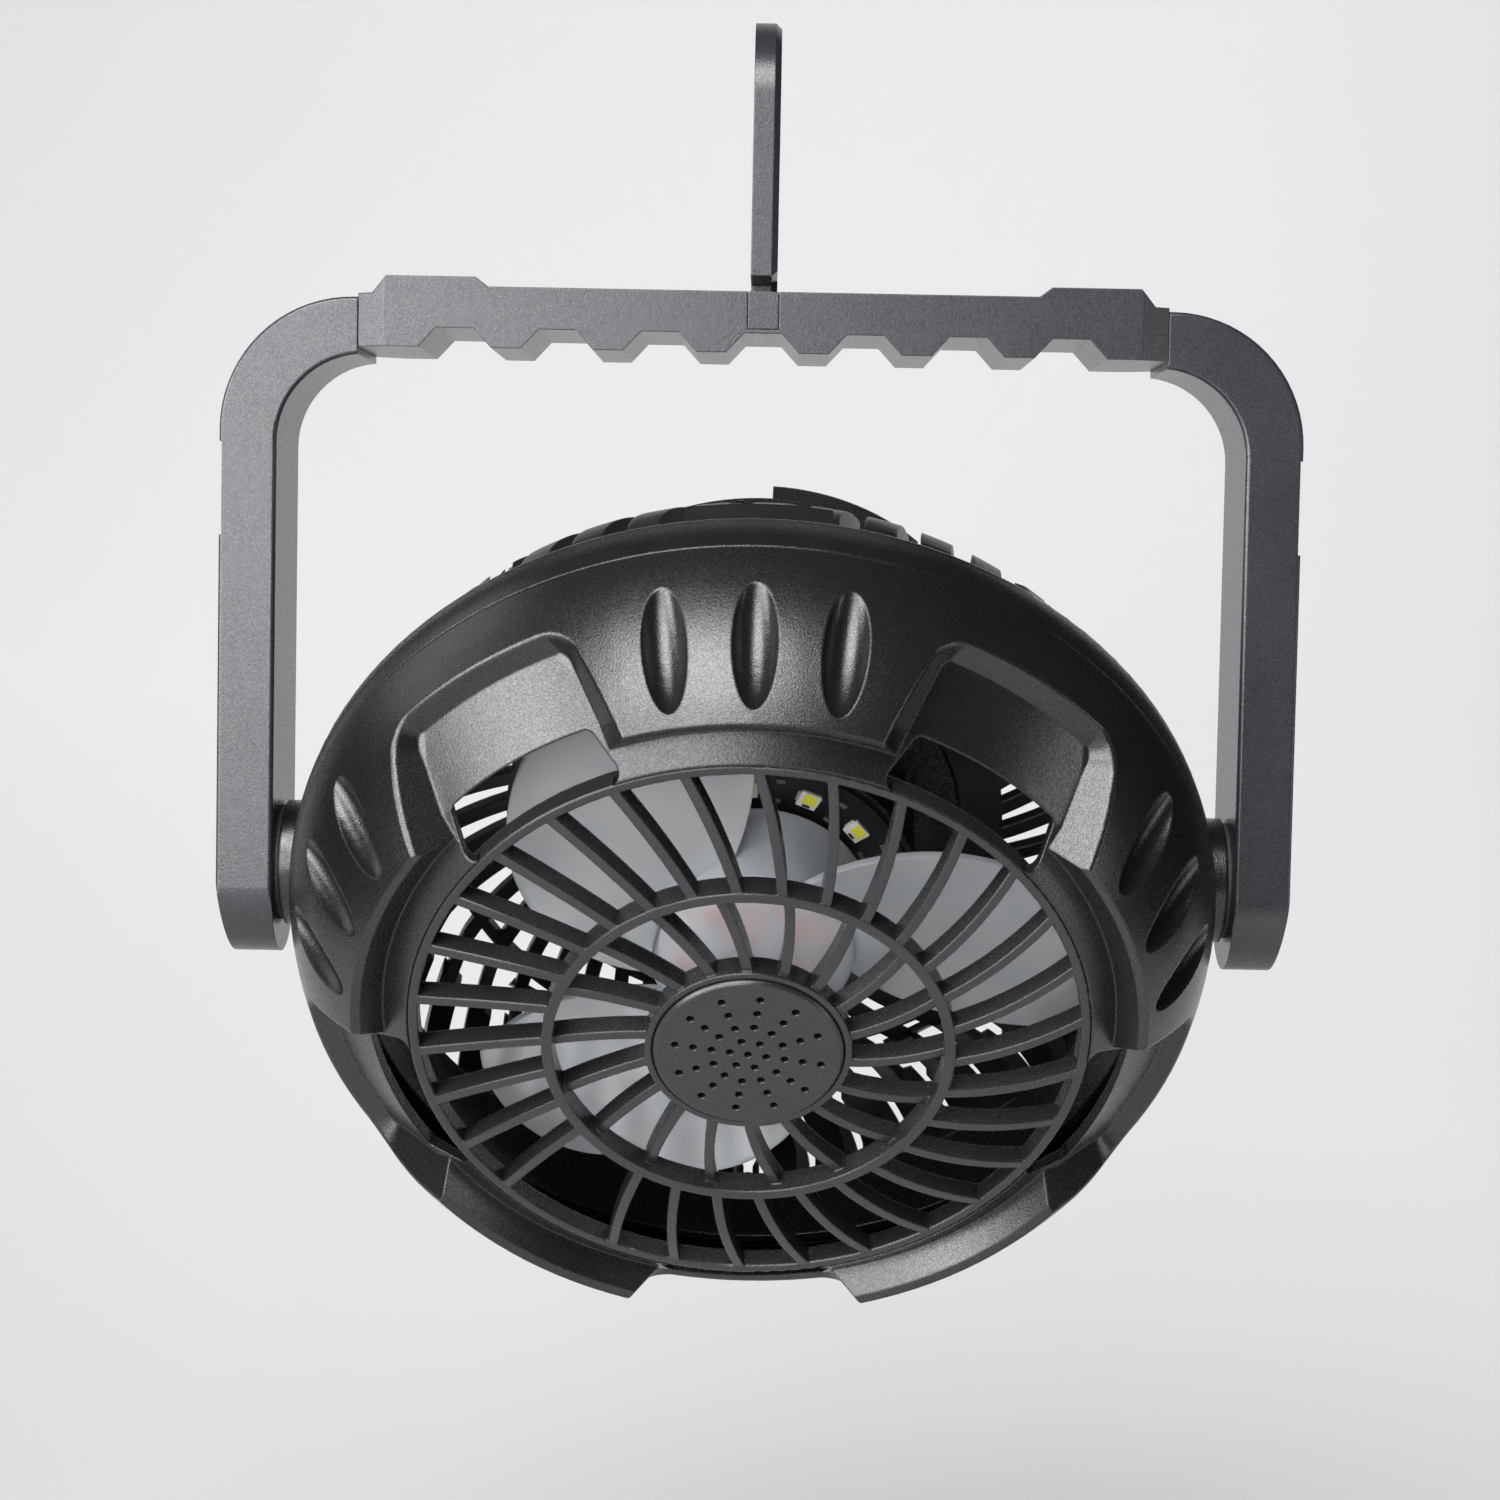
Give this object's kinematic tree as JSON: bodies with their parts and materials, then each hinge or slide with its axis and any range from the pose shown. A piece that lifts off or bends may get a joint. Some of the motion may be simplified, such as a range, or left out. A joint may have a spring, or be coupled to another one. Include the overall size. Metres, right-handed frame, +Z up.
{
  "type": "portable camping fan",
  "caption": "Hanging camping fan: a tilting round head with swept guard bars, a light ring and a battery drum, in a square bail with a notched grip and a hook.",
  "frame": {"origin": "top of the hook's throat, where the hook rests on a rod", "axes": "+Z up; the fan's face looks towards -Y and 33.8 degrees down; +X along the head's tilt axis"},
  "size_m": [0.22, 0.1723, 0.2678],
  "materials": {
    "frame_plastic": "fine satin texture, slightly warm charcoal",
    "shell_plastic": "fine sparkling spark-eroded texture",
    "grille_plastic": "smooth satin",
    "drum_plastic": "semi-gloss",
    "button_plastic": "satin",
    "blade_plastic": "milky translucent",
    "lens_plastic": "clear",
    "holder_plastic": "moulded",
    "steel": "zinc plated",
    "black_steel": "black oxide",
    "washer_plastic": "matt",
    "copper": "enamelled copper wire",
    "laminations": "stacked sheets",
    "magnet": "ferrite",
    "black_board": "solder mask",
    "green_board": "solder mask",
    "led": "white package with a yellow window",
    "cell_wrap": "heat-shrink sleeve"
  },
  "bodies": {
    "bail": {"handle_frame": "frame_plastic", "grip_front": "frame_plastic", "grip_rear": "frame_plastic", "hook_pivot_cover": "frame_plastic", "grip_screws": "black_steel", "hook_pin": "steel", "pivot_washers": "washer_plastic", "pivot_caps": "frame_plastic"},
    "hook": {"hook": "frame_plastic"},
    "head": {"front_bezel": "shell_plastic", "front_grille": "grille_plastic", "centre_cap": "grille_plastic", "mid_frame": "shell_plastic", "rear_guard": "grille_plastic", "drum_housing": "drum_plastic", "rear_cover": "shell_plastic", "motor_pod": "drum_plastic", "stator_core": "laminations", "stator_coils": "copper", "bearings": "steel", "led_board": "black_board", "led_packages": "led", "bezel_screws": "black_steel", "guard_screws": "black_steel", "drum_screws": "black_steel", "pod_screws": "black_steel", "cover_screws": "black_steel", "board_screws": "steel", "pivot_bolts": "steel", "battery_holder": "holder_plastic", "battery_cells": "cell_wrap", "control_board": "green_board", "button_board": "green_board", "tact_switches": "button_plastic", "indicator_lens": "lens_plastic", "usb_c_port": "steel"},
    "rotor": {"impeller": "blade_plastic", "magnet_ring": "magnet", "rotor_yoke": "steel", "motor_shaft": "steel", "shaft_clip": "steel"},
    "light_button": {"light_button": "button_plastic"},
    "fan_button": {"fan_button": "button_plastic"},
    "timer_button": {"timer_button": "button_plastic"}
  },
  "joints": [
    {"name": "hook_fold", "type": "hinge", "parent": "bail", "child": "hook", "pos_m": [0, 0, -0.0533], "axis": [1, 0, 0], "range_deg": [-90, 0]},
    {"name": "head_tilt", "type": "hinge", "parent": "bail", "child": "head", "pos_m": [0, 0, -0.168], "axis": [1, 0, 0], "continuous": true},
    {"name": "rotor_spin", "type": "hinge", "parent": "head", "child": "rotor", "pos_m": [0, 0, -0.168], "axis": [0, -0.831, -0.5563], "continuous": true},
    {"name": "press_light_button", "type": "slide", "parent": "head", "child": "light_button", "axis": [0, -0.831, -0.5563], "range_m": [0, 0.0008], "stiffness_N_per_m": 600},
    {"name": "press_fan_button", "type": "slide", "parent": "head", "child": "fan_button", "axis": [0, -0.831, -0.5563], "range_m": [0, 0.0008], "stiffness_N_per_m": 600},
    {"name": "press_timer_button", "type": "slide", "parent": "head", "child": "timer_button", "axis": [0, -0.831, -0.5563], "range_m": [0, 0.0008], "stiffness_N_per_m": 600}
  ]
}
